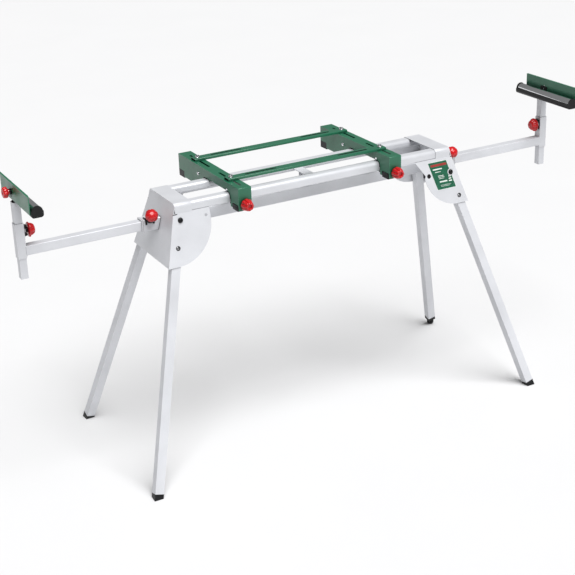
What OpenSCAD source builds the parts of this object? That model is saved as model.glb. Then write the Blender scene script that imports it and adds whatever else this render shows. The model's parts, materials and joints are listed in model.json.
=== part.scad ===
// Extending work stand for a mitre saw: folding splayed legs, a bed of two rails,
// two sliding arms with roller heads, and a pair of clamp-on brackets with tool rails.
// Millimetres. X runs along the bed, -Y is the side with the bracket knobs, +Z is up.
// The origin is on the floor under the middle of the bed.

/* [Bed] */
// length of the bed over its two end housings
bed_length = 1050; // [900:10:1300]
// width of the bed over the hoods
bed_width = 202; // [190:1:240]
// height of the hood tops above the floor
bed_height = 892; // [800:1:1000]
// width of one bed rail
rail_w = 41; // [36:1:48]
// height of one bed rail
rail_h = 31; // [26:1:36]
// wall of the bed rails
rail_wall = 2; // [1.5:0.5:3]
// sheet thickness of the end housings
sheet = 2; // [1.5:0.5:3]
// length of the hood over the rail ends
hood_len = 58; // [45:1:80]
// depth of the end housings below the bed rails
skirt_drop = 162; // [140:1:260]

/* [Legs] */
// outside size of the square leg tube
leg_size = 30; // [25:1:34]
// wall of the leg tube
leg_wall = 1.6; // [1.2:0.2:2.5]
// lean of the legs along the bed, in degrees
leg_lean = 15; // [8:1:20]
// splay of the legs and side plates across the bed, in degrees
leg_splay = 15; // [8:1:18]
// distance from the pivot to the lock button
lock_radius = 90; // [70:1:100]
// diameter of the leg pivot bolts
pivot_d = 8; // [6:1:10]
// gap between stacked folded legs
stack_gap = 2.6; // [2:0.2:6]
// height of the plastic foot caps
cap_h = 14; // [8:1:25]

/* [Arms] */
// outside size of the square arm tube
arm_size = 31; // [26:1:34]
// wall of the arm tube
arm_wall = 2; // [1.5:0.5:3]
// outside size of the guide tube under the bed
guide_size = 40; // [38:1:46]
// depth of the arm centre line below the bed rails
arm_drop = 50; // [44:1:100]
// distance from the end of the bed to the height post
post_reach = 482; // [395:1:560]
// how far the guide tube stands out of the end plate
guide_out = 57; // [50:1:90]

/* [Height posts] */
// outside size of the inner post
post_size = 24; // [20:1:28]
// outside size of the outer sleeve
sleeve_size = 28.4; // [26:0.2:34]
// length of the outer sleeve
sleeve_len = 114; // [90:1:140]
// how far the outer sleeve reaches below the arm centre line
sleeve_drop = 24; // [16:1:40]
// how far the inner post stands out below the sleeve
post_drop = 67; // [60:1:100]

/* [Roller heads] */
// radius of the roller
roller_r = 16; // [12:0.5:20]
// length of the roller
roller_len = 284; // [200:2:320]
// height of the roller axis above the bed rails
roller_rise = 99; // [95:1:120]
// how far the roller lies inside the post, along the bed
head_in = 12; // [6:1:14]
// middle of the roller across the bed, from the post
head_y = -35; // [-60:1:0]
// height of the stop plate
stop_h = 60; // [50:1:80]
// length of the stop plate
stop_len = 275; // [200:1:300]

/* [Saw mount] */
// distance from the left end of the bed to the left bracket
mount_left_in = 218; // [170:1:280]
// distance from the right end of the bed to the right bracket
mount_right_in = 264; // [190:1:330]
// width of a bracket
bracket_w = 46; // [38:1:56]
// how far the brackets stand out in front of the bed
bracket_fore = 61; // [58:1:90]
// how far the brackets stand out behind the bed
bracket_aft = 197; // [150:1:240]
// height of the bracket tops above the bed rails
bracket_rise = 33; // [24:1:50]
// how far the bracket walls reach below the bed rails
wall_drop = 11; // [8:1:14]
// thickness of the bracket sheet
bracket_t = 2.5; // [2:0.5:3.5]
// width of a tool rail
tool_w = 34; // [28:1:42]
// height of a tool rail
tool_h = 9; // [8:1:18]
// distance from the front end of the brackets to the front tool rail
tool_fore = 98; // [60:1:150]
// distance from the rear end of the brackets to the rear tool rail
tool_aft = 108; // [70:1:160]
// width of the fastening slots
slot_w = 8.4; // [8.2:0.2:10]

/* [Hidden] */
$fn = 48;

// colours
paint = [0.88, 0.88, 0.90];
green = [0.20, 0.48, 0.36];
red = [0.78, 0.10, 0.10];
black = [0.10, 0.10, 0.11];
steel = [0.72, 0.73, 0.75];

// clearances
run = 0.05;
slide = 0.4;
touch = 0.3;

// bed heights and widths
rail_top = bed_height - sheet;
rail_bot = rail_top - rail_h;
rail_out = bed_width / 2 - sheet;
rail_in = rail_out - rail_w;
skirt_z = rail_bot - skirt_drop;
r_out = 12;
r_in = 12;
r_low = 4;

// slope of the end plates, so that it runs with the legs
plate_slope = atan(tan(leg_lean) / cos(leg_splay));
half_bed = bed_length / 2;
leg_gap = 1;
leg_mid = sheet + leg_gap + leg_size / 2;
hook_t = 5.2;

// pivots: the left pair is one leg higher, so the folded legs stack
pivot_left_z = rail_bot - hook_t - 1.8 - (leg_size / 2) * (cos(leg_splay) + sin(leg_splay))
    + leg_mid * sin(leg_splay);
pivot_right_z = pivot_left_z - (leg_size + stack_gap) * cos(leg_splay);
pivot_inset = leg_size / 2 + 12;
function pivot_z(right) = right ? pivot_right_z : pivot_left_z;
function plate_x(z) = half_bed + (rail_top - 2 - z) * tan(plate_slope);
function pivot_x(right) = plate_x(pivot_z(right)) - pivot_inset;
function pivot_y(right) = bed_width / 2 + (rail_bot - pivot_z(right)) * tan(leg_splay);

// height of the leg centre at the pivot, and the drop along the leg per unit of its length
function leg_z(right) = pivot_z(right) - leg_mid * sin(leg_splay);
leg_drop = cos(leg_lean) * cos(leg_splay);
function leg_reach(right) = leg_z(right) / leg_drop;

// levelling foot: a rounded pad that stands on the floor under the rear right leg
pad_r = 13;
dome_r = 16;
pad_at = (leg_z(true) - dome_r) / leg_drop;
pad_stem = pad_at - 6;

// arms
arm_z = rail_bot - arm_drop;
post_x = half_bed + post_reach;
guide_in = guide_size - 4;
guide_half = plate_x(arm_z) + guide_out;
arm_tip = post_x - sleeve_size / 2;
arm_tail = plate_x(arm_z) - 57;
diag_a = 45;

// posts
sleeve_z = arm_z - sleeve_drop;
post_z = sleeve_z - post_drop;
sleeve_top = sleeve_z + sleeve_len;
post_in = post_size - 3;
knob_z = sleeve_top - 27;

// roller heads
roller_z = rail_top + roller_rise;
cradle_t = 2.5;
cradle_half = roller_r + 1 + cradle_t;
cradle_z = roller_z - cradle_half;
stop_t = 2.5;
stop_z = cradle_z + 10;
stop_screw_z = stop_z + 24;

// saw mount
mount_left = mount_left_in - half_bed;
mount_right = half_bed - mount_right_in;
bracket_front = -bed_width / 2 - bracket_fore;
bracket_rear = bed_width / 2 + bracket_aft;
bracket_top = rail_top + bracket_rise;
wall_low = rail_bot - wall_drop;
block_low = wall_low - 5;
arch_d = 3.3;
jaw_low = rail_bot - touch - hook_t;
jaw_back = -bracket_front - bracket_t - 4;
plug_len = 42;
plug_h = 21;
bracket_knob_z = rail_bot + 9;
tool_front = bracket_front + tool_fore;
tool_rear = bracket_rear - tool_aft;
tool_len = mount_right - mount_left + 31;
tool_mid = (mount_left + mount_right) / 2;
tool_top = bracket_top + tool_h;

// repeats a shape on the other side
module flip_x(on) {
    if (on) mirror([1, 0, 0]) children();
    else children();
}
module flip_y(on) {
    if (on) mirror([0, 1, 0]) children();
    else children();
}

// frame of one side plate: origin on its outer face at the leg pivot, +Y inward
module at_pivot(right, rear) {
    flip_x(right)
        flip_y(rear)
            translate([-pivot_x(right), -pivot_y(right), pivot_z(right)])
                rotate([-leg_splay, 0, 0])
                    children();
}

// frame of one leg: the same, turned so that -Z runs down the leg
module at_leg(right, rear) {
    at_pivot(right, rear)
        rotate([0, leg_lean, 0])
            children();
}

// cylinder along +Y
module rod_y(r, y0, y1) {
    translate([0, y0, 0])
        rotate([-90, 0, 0])
            cylinder(r = r, h = y1 - y0);
}

// cylinder along +X
module rod_x(r, x0, x1) {
    translate([x0, 0, 0])
        rotate([0, 90, 0])
            cylinder(r = r, h = x1 - x0);
}

// rectangle with four corner radii, from (0, 0): low-left, low-right, up-right, up-left
module round_box(w, h, a, b, c, d) {
    polygon([[a, 0], [w - b, 0], [w, b], [w, h - c], [w - c, h], [d, h], [0, h - d], [0, a]]);
    translate([a, a]) circle(r = a);
    translate([w - b, b]) circle(r = b);
    translate([w - c, h - c]) circle(r = c);
    translate([d, h - d]) circle(r = d);
}

// section of the front bed rail, grown by d, in (Y, Z) with the outer face at y = -rail_out
module rail_section(d) {
    translate([-rail_out - d, rail_bot - d])
        round_box(rail_w + 2 * d, rail_h + 2 * d, r_low + d, r_in + d, r_in + d, r_out + d);
}

// places a (Y, Z) section along X
module along_x(x0, x1) {
    translate([x0, 0, 0])
        rotate([90, 0, 90])
            linear_extrude(height = x1 - x0)
                children();
}

// places an (X, Z) section along Y, from y0 to y1
module along_y(y0, y1) {
    translate([0, y1, 0])
        rotate([90, 0, 0])
            linear_extrude(height = y1 - y0)
                children();
}

module bed_rail() {
    color(paint)
        along_x(-half_bed + 3, half_bed - 3)
            difference() {
                rail_section(0);
                rail_section(-rail_wall);
            }
}
module rail_front() {
    bed_rail();
}
module rail_rear() {
    flip_y(true) bed_rail();
}

// flat strip between the rails, with a hanger that carries the guide tube
module cross_member() {
    strip = 34;
    color(paint)
        union() {
            translate([-12, -rail_in, rail_bot + 12])
                cube([strip, 2 * rail_in, 3]);
            for (s = [-1, 1])
                translate([-12, s * (guide_size / 2 - 5) - 1.5, arm_z + guide_size / 2])
                    cube([strip, 3, rail_bot + 13 - arm_z - guide_size / 2]);
        }
}

// square tube under the bed that both arms slide in
module guide_tube() {
    color(paint)
        difference() {
            along_x(-guide_half, guide_half)
                difference() {
                    translate([-guide_size / 2, arm_z - guide_size / 2])
                        round_box(guide_size, guide_size, 3, 3, 3, 3);
                    translate([-guide_in / 2, arm_z - guide_in / 2])
                        square(guide_in);
                }
            for (right = [false, true])
                flip_x(right)
                    arm_knob_frame()
                        rod_x(4.3, -20, 20);
        }
}

// frame of an arm clamp knob: origin at the upper front edge of the guide tube, +X outward
module arm_knob_frame() {
    translate([-guide_half + 23, -guide_size / 2, arm_z + guide_size / 2])
        rotate([0, -diag_a, -90])
            children();
}

// outline of a side plate in its own plane, pivot at (0, 0), outward is -X
module side_outline(right) {
    top = (rail_bot + 2 - pivot_z(right)) / cos(leg_splay);
    low = (pivot_z(right) - skirt_z) / cos(leg_splay);
    edge = pivot_inset;
    lean = tan(leg_lean);
    cx = right ? -15 : -33;
    cz = right ? 10 : -8;
    r = low + cz;
    reach = right ? cx + r + 30 : cx + r;
    intersection() {
        polygon([[-edge + top * lean, top], [reach, top], [right ? cx + r - 6 : reach, cz - 8],
            [cx + r + 40, -low - 5], [-edge - (low + 5) * lean, -low - 5]]);
        union() {
            translate([cx, cz]) circle(r = r, $fn = 120);
            translate([-edge - low, cz - 8]) square([low + edge + reach, top + 8 - cz]);
            translate([-edge - low, -low]) square([low + edge + cx, low + top]);
        }
    }
}

// one sheet-metal end housing: hood, sloping end plate, two side plates and two leg stops
module housing(right) {
    slope_len = (rail_top - 2 - skirt_z) / cos(plate_slope);
    top_s = (rail_top - 2 - rail_bot) / cos(plate_slope);
    half_top = bed_width / 2 - 0.6;
    hood_r = r_out + sheet;
    rest_x = pivot_inset * cos(leg_lean);
    cut = 0.3 * hood_r;
    half_low = bed_width / 2 + (rail_bot - skirt_z) * tan(leg_splay) - 0.6;
    color(paint)
        difference() {
            union() {
                // hood that folds down round both rails
                along_x(-half_bed, -half_bed + hood_len)
                    difference() {
                        translate([-bed_width / 2, rail_bot + 1])
                            round_box(bed_width, rail_h - 1 + sheet, 0.5, 0.5, hood_r, hood_r);
                        translate([-rail_out, rail_bot - 1])
                            round_box(2 * rail_out, rail_h + 1, 0.5, 0.5, r_out, r_out);
                    }
                // rounded closing plate at the outer end of the hood
                along_x(-half_bed - 1.4, -half_bed + 0.6)
                    translate([-half_top, rail_bot + 1])
                        round_box(2 * half_top, rail_h - 1 + sheet, 0.5, 0.5, hood_r, hood_r);
                // sloping end plate
                translate([-half_bed, 0, rail_top - 2])
                    rotate([0, plate_slope, 0])
                        rotate([0, 90, 0])
                            linear_extrude(height = sheet)
                                polygon([[0, cut - half_top], [cut, 0.3 * cut - half_top], [2 * cut, -half_top],
                                    [top_s, -half_top], [slope_len, -half_low],
                                    [slope_len, half_low], [top_s, half_top],
                                    [2 * cut, half_top], [cut, half_top - 0.3 * cut], [0, half_top - cut]]);
                // side plates
                for (rear = [false, true])
                    flip_y(rear)
                        translate([-pivot_x(right), -pivot_y(right), pivot_z(right)])
                            rotate([-leg_splay, 0, 0])
                                along_y(0, sheet)
                                    side_outline(right);
                // blocks on the end plate that the legs lean on
                for (rear = [false, true])
                    flip_y(rear)
                        translate([-pivot_x(right), -pivot_y(right), pivot_z(right)])
                            rotate([-leg_splay, 0, 0])
                                rotate([0, leg_lean, 0])
                                    translate([0.5 - rest_x, sheet - 0.2, -lock_radius - 30])
                                        cube([rest_x - 0.5 - leg_size / 2 - touch, leg_size - 2, 20]);
            }
            // holes in the side plates: pivot, lock, and lock of the folded leg
            for (rear = [false, true])
                flip_y(rear)
                    translate([-pivot_x(right), -pivot_y(right), pivot_z(right)])
                        rotate([-leg_splay, 0, 0]) {
                            rod_y(pivot_d / 2 + run, -5, 4);
                            rotate([0, leg_lean, 0])
                                translate([0, 0, -lock_radius])
                                    rod_y(7, -5, 4);
                            translate([lock_radius, 0, 0])
                                rod_y(right ? 7 : 5, -5, 4);
                            // slit between the hood and the side plate at the outer corner
                            translate([-60, -5, (rail_bot + 1 - pivot_z(right)) / cos(leg_splay) - 4])
                                cube([60 - pivot_inset + 20, 9, 3]);
                        }
            // hole in the end plate for the guide tube
            translate([-half_bed - 150, -guide_size / 2 - run, arm_z - guide_size / 2 - run])
                cube([150, guide_size + 2 * run, guide_size + 2 * run]);
        }
}
module housing_left() {
    housing(false);
}
module housing_right() {
    flip_x(true) housing(true);
}

// plastic bush in the end of the guide tube, with a lip and the forked saddle of the clamp
module bush() {
    x0 = -guide_half;
    gap = arm_size + 2 * slide;
    color(black)
        difference() {
            union() {
                translate([x0 - 4, -guide_size / 2, arm_z - guide_size / 2])
                    cube([4, guide_size, guide_size]);
                translate([x0 - 0.5, -guide_in / 2, arm_z - guide_in / 2])
                    cube([60, guide_in, guide_in]);
                // forked saddle over the upper front edge of the guide tube
                for (dx = [7, 33])
                    translate([x0 + dx, -guide_size / 2 - 2.5, arm_z + guide_size / 2 - 16])
                        cube([6, 2.5, 18.5]);
                for (dx = [7, 33])
                    translate([x0 + dx, -guide_size / 2 - 2.5, arm_z + guide_size / 2])
                        cube([6, 22, 2.5]);
                translate([x0 + 7, -guide_size / 2 - 2.5, arm_z + guide_size / 2 - 8])
                    cube([32, 2.5, 10.5]);
                translate([x0 + 7, -guide_size / 2 - 2.5, arm_z + guide_size / 2])
                    cube([32, 11, 2.5]);
                arm_knob_frame()
                    rod_x(9, 0, 11);
            }
            translate([x0 - 10, -gap / 2, arm_z - gap / 2])
                cube([80, gap, gap]);
            arm_knob_frame()
                rod_x(4 + run, -30, 30);
            translate([x0 + 0.01, -guide_size / 2, arm_z - guide_size / 2])
                difference() {
                    cube([62, guide_size, guide_size]);
                    translate([-1, 2, 2])
                        cube([64, guide_in, guide_in]);
                }
        }
}
module bush_left() {
    bush();
}
module bush_right() {
    flip_x(true) bush();
}

// red clamp knob along +X with a screw behind it: grip with six flutes and a domed end
module clamp_knob(r, h, screw_r, screw_len) {
    color(red)
        difference() {
            union() {
                rod_x(r * 0.62, 0, h * 0.25);
                translate([h * 0.2, 0, 0])
                    rotate([0, 90, 0])
                        cylinder(r1 = r * 0.92, r2 = r, h = h * 0.35);
                translate([h * 0.55, 0, 0])
                    rotate([0, 90, 0])
                        cylinder(r1 = r, r2 = r * 0.72, h = h * 0.45);
                rod_x(screw_r, -screw_len, 1);
            }
            for (k = [0 : 5])
                rotate([60 * k, 0, 0])
                    translate([h * 0.12, 0, r * 1.14])
                        rod_x(r * 0.26, 0, h);
        }
}

module arm_knob_left() {
    arm_knob_frame()
        translate([12, 0, 0])
            clamp_knob(24, 30, 4, 12 + 6.8);
}
module arm_knob_right() {
    flip_x(true) arm_knob_left();
}

// generic data label on the front right side plate
module data_label() {
    color(green)
        at_pivot(true, false)
            along_y(-0.6, 0)
                difference() {
                    translate([37, -7])
                        rotate(-19)
                            translate([-38, -54])
                                round_box(76, 108, 4, 4, 4, 4);
                    circle(r = 13);
                    rotate(-leg_lean)
                        translate([0, -lock_radius])
                            circle(r = 10);
                    translate([lock_radius, 0])
                        circle(r = 10);
                }
}

module pivot_bolt(right, rear) {
    color(black)
        at_pivot(right, rear)
            union() {
                rod_y(9.5, -4, 0);
                rod_y(7, -5.5, -4);
                rod_y(pivot_d / 2, -1, leg_mid + leg_size / 2 + 8);
                rod_y(8, leg_mid + leg_size / 2 + touch, leg_mid + leg_size / 2 + 6);
            }
}
module pivot_front_left() {
    pivot_bolt(false, false);
}
module pivot_rear_left() {
    pivot_bolt(false, true);
}
module pivot_front_right() {
    pivot_bolt(true, false);
}
module pivot_rear_right() {
    pivot_bolt(true, true);
}

// outline of the leg in its side view: round top end about the pivot
module leg_outline(half, len) {
    circle(r = half);
    translate([-half, -len])
        square([2 * half, len]);
}

module leg(right, rear) {
    end = (right && rear ? pad_stem - 4 : leg_reach(right)) - cap_h;
    color(paint)
        at_leg(right, rear)
            difference() {
                along_y(sheet + leg_gap, sheet + leg_gap + leg_size)
                    leg_outline(leg_size / 2, end);
                along_y(sheet + leg_gap + leg_wall, sheet + leg_gap + leg_size - leg_wall)
                    leg_outline(leg_size / 2 - leg_wall, end + 1);
                rod_y(pivot_d / 2 + run, -1, 60);
                translate([0, 0, -lock_radius])
                    rod_y(5 + run, -1, leg_mid);
            }
}
module leg_front_left() {
    leg(false, false);
}
module leg_rear_left() {
    leg(false, true);
}
module leg_front_right() {
    leg(true, false);
}
module leg_rear_right() {
    leg(true, true);
}

// plastic cap that plugs the leg, cut level with the floor
module foot_cap(right, rear) {
    end = leg_reach(right) - cap_h;
    plug = leg_size - 2 * leg_wall;
    color(black)
        intersection() {
            at_leg(right, rear)
                union() {
                    translate([-leg_size / 2, leg_mid - leg_size / 2, -end - 60])
                        cube([leg_size, leg_size, 60]);
                    translate([-plug / 2, leg_mid - plug / 2, -end - 1])
                        cube([plug, plug, 26]);
                }
            translate([-bed_length, -bed_length, 0])
                cube([2 * bed_length, 2 * bed_length, bed_height]);
        }
}
module foot_front_left() {
    foot_cap(false, false);
}
module foot_rear_left() {
    foot_cap(false, true);
}
module foot_front_right() {
    foot_cap(true, false);
}
// this cap ends square and takes the screw of the levelling foot
module foot_rear_right() {
    end = pad_stem - 4 - cap_h;
    plug = leg_size - 2 * leg_wall;
    color(black)
        at_leg(true, true)
            difference() {
                union() {
                    translate([-leg_size / 2, leg_mid - leg_size / 2, -end - cap_h])
                        cube([leg_size, leg_size, cap_h]);
                    translate([-plug / 2, leg_mid - plug / 2, -end - 1])
                        cube([plug, plug, 30]);
                }
                translate([0, leg_mid, -end - cap_h - 5])
                    cylinder(r = 4 + run, h = 60);
            }
}

module levelling_foot() {
    color(black)
        at_leg(true, true)
            translate([0, leg_mid, -pad_at])
                union() {
                    rotate_extrude()
                        intersection() {
                            translate([0, -dome_r])
                                square([pad_r, dome_r + 1]);
                            circle(r = dome_r, $fn = 96);
                        }
                    cylinder(r = 4, h = pad_at - pad_stem + cap_h + 18);
                }
}

// spring lock button in the leg: its head shows in the hole of the side plate
module lock_button(right, rear) {
    face = sheet + touch;
    color(steel)
        at_leg(right, rear)
            translate([0, 0, -lock_radius])
                union() {
                    rod_y(5, face + 0.6, leg_mid - 2);
                    translate([0, face, 0])
                        rotate([-90, 0, 0])
                            cylinder(r1 = 3.6, r2 = 5, h = 0.6);
                    rod_y(7.5, sheet + leg_gap + leg_wall + 0.3, sheet + leg_gap + leg_wall + 2.3);
                }
}
module lock_front_left() {
    lock_button(false, false);
}
module lock_rear_left() {
    lock_button(false, true);
}
module lock_front_right() {
    lock_button(true, false);
}
module lock_rear_right() {
    lock_button(true, true);
}

// sliding arm with the welded outer sleeve of the height post
module arm() {
    sleeve_in = post_size + 2 * slide;
    color(paint)
        difference() {
            union() {
                along_x(-arm_tip - 1, -arm_tail)
                    translate([-arm_size / 2, arm_z - arm_size / 2])
                        round_box(arm_size, arm_size, 2.5, 2.5, 2.5, 2.5);
                translate([-post_x - sleeve_size / 2, -sleeve_size / 2, sleeve_z])
                    cube([sleeve_size, sleeve_size, sleeve_len]);
                // wider tail that runs in the guide tube
                translate([-arm_tail - 20, -guide_in / 2 + slide, arm_z - guide_in / 2 + slide])
                    cube([20, guide_in - 2 * slide, guide_in - 2 * slide]);
                // nut of the post clamp
                translate([-post_x, 0, knob_z])
                    rod_x(9, sleeve_size / 2 - 1, sleeve_size / 2 + 5);
            }
            translate([-arm_tip + 6, -arm_size / 2 + arm_wall, arm_z - arm_size / 2 + arm_wall])
                cube([arm_tip - arm_tail, arm_size - 2 * arm_wall, arm_size - 2 * arm_wall]);
            translate([-post_x - sleeve_in / 2, -sleeve_in / 2, sleeve_z - 1])
                cube([sleeve_in, sleeve_in, sleeve_len + 2]);
            translate([-post_x, 0, knob_z])
                rod_x(4 + run, 0, 40);
        }
}
module arm_left() {
    arm();
}
module arm_right() {
    flip_x(true) arm();
}

module post_knob_left() {
    union() {
        color(black)
            translate([-post_x + sleeve_size / 2 + 5.3, 0, knob_z])
                difference() {
                    rod_x(8, 0, 9);
                    rod_x(4, -1, 10);
                }
        translate([-post_x + sleeve_size / 2 + 14, 0, knob_z])
            clamp_knob(24, 21, 4, sleeve_size / 2 + 14 - post_size / 2 - touch);
    }
}
module post_knob_right() {
    flip_x(true) post_knob_left();
}

// inner height post, closed at its lower end
module post() {
    color(paint)
        difference() {
            translate([-post_x - post_size / 2, -post_size / 2, post_z])
                cube([post_size, post_size, cradle_z - post_z]);
            translate([-post_x - post_in / 2, -post_in / 2, post_z + 3])
                cube([post_in, post_in, cradle_z - post_z]);
        }
}
module post_left() {
    post();
}
module post_right() {
    flip_x(true) post();
}

// places a roller head part that is drawn about its post, for the left head
module head(right) {
    flip_x(right)
        translate([-post_x, 0, 0])
            children();
}

// black cradle under the roller: a channel with two end caps, stub axles, a tab for the
// stop plate and a plug that sits in the post
module cradle(right) {
    ear = roller_len / 2 + 1;
    c = cradle_half;
    color(black)
        head(right)
            difference() {
                union() {
                    translate([head_in, head_y, 0])
                        along_y(-ear, ear)
                            difference() {
                                translate([-c, cradle_z])
                                    round_box(2 * c, c, 9, 9, 0.5, 0.5);
                                translate([-c + cradle_t, cradle_z + cradle_t])
                                    round_box(2 * c - 2 * cradle_t, c, 6.5, 6.5, 0.5, 0.5);
                            }
                    for (s = [-1, 1])
                        translate([head_in, head_y, 0]) {
                            along_y(s > 0 ? ear : -ear - 3, s > 0 ? ear + 3 : -ear) {
                                translate([-c, cradle_z])
                                    round_box(2 * c, c, 9, 9, 0.5, 0.5);
                                translate([0, roller_z])
                                    circle(r = c - 2);
                            }
                            translate([0, 0, roller_z])
                                rod_y(4, s > 0 ? ear - 14 : -ear - 1, s > 0 ? ear + 1 : -ear + 14);
                        }
                    translate([head_in - c, -16, cradle_z + 9])
                        cube([cradle_t, 32, stop_screw_z + 8 - cradle_z - 9]);
                    translate([-post_in / 2 + 0.1, -post_in / 2 + 0.1, cradle_z - 18])
                        cube([post_in - 0.2, post_in - 0.2, 19]);
                    // pad between the post and the channel
                    translate([head_in - c, -post_size / 2, cradle_z])
                        cube([post_size / 2 - head_in + c, post_size, 2.4]);
                }
                translate([0, 0, stop_screw_z])
                    rod_x(3 + run, head_in - c - 1, head_in - c + cradle_t + 1);
            }
}
module cradle_left() {
    cradle(false);
}
module cradle_right() {
    cradle(true);
}

module roller(right) {
    color(steel)
        head(right)
            translate([head_in, head_y, roller_z])
                difference() {
                    rod_y(roller_r, -roller_len / 2, roller_len / 2);
                    rod_y(roller_r - 2, -roller_len / 2 + 13.5, roller_len / 2 - 13.5);
                    rod_y(4 + run, -roller_len, roller_len);
                }
}
module roller_left() {
    roller(false);
}
module roller_right() {
    roller(true);
}

// green stop plate with its upright slot and a turned upper edge
module stop_plate(right) {
    x0 = head_in - cradle_half - touch - stop_t;
    color(green)
        head(right)
            difference() {
                union() {
                    translate([x0, head_y - 2 - stop_len / 2, stop_z])
                        cube([stop_t, stop_len, stop_h]);
                    translate([x0 - 4, head_y - 2 - stop_len / 2, stop_z + stop_h - 2])
                        cube([stop_t + 4, stop_len, 2]);
                }
                translate([x0 - 1, 0, 0])
                    slot_z(stop_screw_z - 17.4, stop_screw_z + 12.4, 6.6, 5);
            }
}
// upright slot cut along X: from z0 to z1, width w, depth d
module slot_z(z0, z1, w, d) {
    translate([0, -w / 2, z0 + w / 2])
        cube([d, w, z1 - z0 - w]);
    translate([0, 0, z0 + w / 2])
        rod_x(w / 2, 0, d);
    translate([0, 0, z1 - w / 2])
        rod_x(w / 2, 0, d);
}
module stop_left() {
    stop_plate(false);
}
module stop_right() {
    stop_plate(true);
}

module stop_knob(right) {
    head(right)
        translate([head_in - cradle_half - touch - stop_t, 0, stop_screw_z])
            rotate([0, 0, 180]) {
                color(black)
                    difference() {
                        rod_x(8, touch, 6);
                        rod_x(3, -1, 7);
                    }
                translate([6, 0, 0])
                    clamp_knob(18, 20, 3, 6 + stop_t + touch + cradle_t - 0.5);
            }
}
module stop_knob_left() {
    stop_knob(false);
}
module stop_knob_right() {
    stop_knob(true);
}

// section that a bracket wall is cut back to, over both rails
module arch_section() {
    for (rear = [false, true])
        mirror([rear ? 1 : 0, 0])
            union() {
                rail_section(arch_d);
                translate([-rail_out - arch_d, rail_bot - 40])
                    square([rail_w, 60]);
            }
    translate([-rail_out + 8, rail_bot - 40])
        square([2 * rail_out - 16, 40 + rail_h + arch_d]);
}

// green bracket: a channel across the bed, open below, with two long slots in its top
module bracket(x) {
    w = bracket_w;
    len = bracket_rear - bracket_front;
    color(green)
        difference() {
            along_x(x - w / 2, x + w / 2)
                difference() {
                    translate([bracket_front, wall_low])
                        round_box(len, bracket_top - wall_low, 1, 1, 3, 3);
                    arch_section();
                    // notches for the sides of the front jaw and for the rear end block
                    translate([bracket_front + 4, wall_low - 6])
                        round_box(44, 23, 1, 1, 6, 6);
                    translate([bracket_rear - plug_len, wall_low - 1])
                        square([plug_len + 1, plug_h + 1]);
                }
            translate([x - w / 2 + bracket_t, bracket_front + bracket_t, wall_low - 60])
                cube([w - 2 * bracket_t, len - 2 * bracket_t, bracket_top - bracket_t - wall_low + 60]);
            // slots for the tool rails
            translate([x, bracket_front + 108, bracket_top - 10])
                slot_y(160, slot_w, 20);
            translate([x, bracket_rear - 124, bracket_top - 10])
                slot_y(156, slot_w, 20);
            // hole for the clamp screw
            translate([x, 0, bracket_knob_z])
                rod_y(5 + run, bracket_front - 1, bracket_front + 5);
        }
}
// slots along Y and along X, centred, height h upward
module slot_y(len, w, h) {
    translate([-w / 2, -len / 2 + w / 2, 0])
        cube([w, len - w, h]);
    for (s = [-1, 1])
        translate([0, s * (len - w) / 2, 0])
            cylinder(r = w / 2, h = h);
}
module slot_x(len, w, h) {
    rotate([0, 0, 90]) slot_y(len, w, h);
}
module bracket_left() {
    bracket(mount_left);
}
module bracket_right() {
    bracket(mount_right);
}

// rubber liners between a bracket and both rails
module pads(x) {
    color(black)
        along_x(x - bracket_w / 2 - 1, x + bracket_w / 2 + 1)
            for (rear = [false, true])
                mirror([rear ? 1 : 0, 0])
                    intersection() {
                        difference() {
                            rail_section(arch_d);
                            rail_section(touch);
                        }
                        translate([-rail_out - 20, rail_top - 17])
                            square([rail_w - r_in + 16, 40]);
                    }
}
module pad_left() {
    pads(mount_left);
}
module pad_right() {
    pads(mount_right);
}

// section of the front jaw in (Y, Z): a block with a hook under the front rail
module jaw_section() {
    polygon([[-rail_out - arch_d - 1, rail_top - 8], [-rail_out - arch_d - 1, rail_top - 18],
        [-rail_out - touch, rail_top - 18], [-rail_out - touch, rail_bot - touch],
        [-rail_out + 9, rail_bot - touch], [-rail_out + 9, jaw_low],
        [-rail_out - 14, jaw_low], [-rail_out - 20, block_low],
        [-jaw_back + 3, block_low], [-jaw_back, block_low + 4], [-jaw_back, rail_top - 8]]);
}

// section of the rear hook in (Y, Z), drawn at the front
module hook_section() {
    polygon([[-rail_out - touch, rail_top - 18], [-rail_out - touch, rail_bot - touch],
        [-rail_out + 9, rail_bot - touch], [-rail_out + 9, jaw_low],
        [-rail_out - 14, jaw_low], [-rail_out - 20, wall_low],
        [-rail_out - 30, wall_low], [-rail_out - 30, wall_low + 6], [-rail_out - 12, rail_top - 18]]);
}

// fixed rear block: hook under the rear rail, a strap and a plug in the end of the channel
module shoe(x) {
    w = bracket_w - 2 * bracket_t - 0.4;
    plug_y = bracket_rear - plug_len;
    color(black)
        union() {
            flip_y(true)
                along_x(x - w / 2, x + w / 2)
                    hook_section();
            translate([x - w / 2, rail_out + 25, wall_low])
                cube([w, plug_y - rail_out - 24, 6]);
            translate([x - bracket_w / 2, plug_y, wall_low - 4])
                cube([bracket_w, plug_len + 0.5, plug_h + 4]);
        }
}
module shoe_left() {
    shoe(mount_left);
}
module shoe_right() {
    shoe(mount_right);
}

// front clamp jaw, drawn under the front rail by the knob screw
module jaw(x) {
    w = bracket_w - 2 * bracket_t - 0.8;
    side_w = bracket_w + 0.6;
    color(black)
        difference() {
            union() {
                along_x(x - w / 2, x + w / 2)
                    jaw_section();
                along_x(x - side_w / 2, x + side_w / 2)
                    translate([bracket_front + 8, block_low])
                        round_box(38, wall_low + 15 - block_low, 1, 1, 5, 5);
            }
            translate([x, 0, bracket_knob_z])
                rod_y(5 + run, -jaw_back - 1, -jaw_back + 30);
        }
}
module jaw_left() {
    jaw(mount_left);
}
module jaw_right() {
    jaw(mount_right);
}

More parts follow.
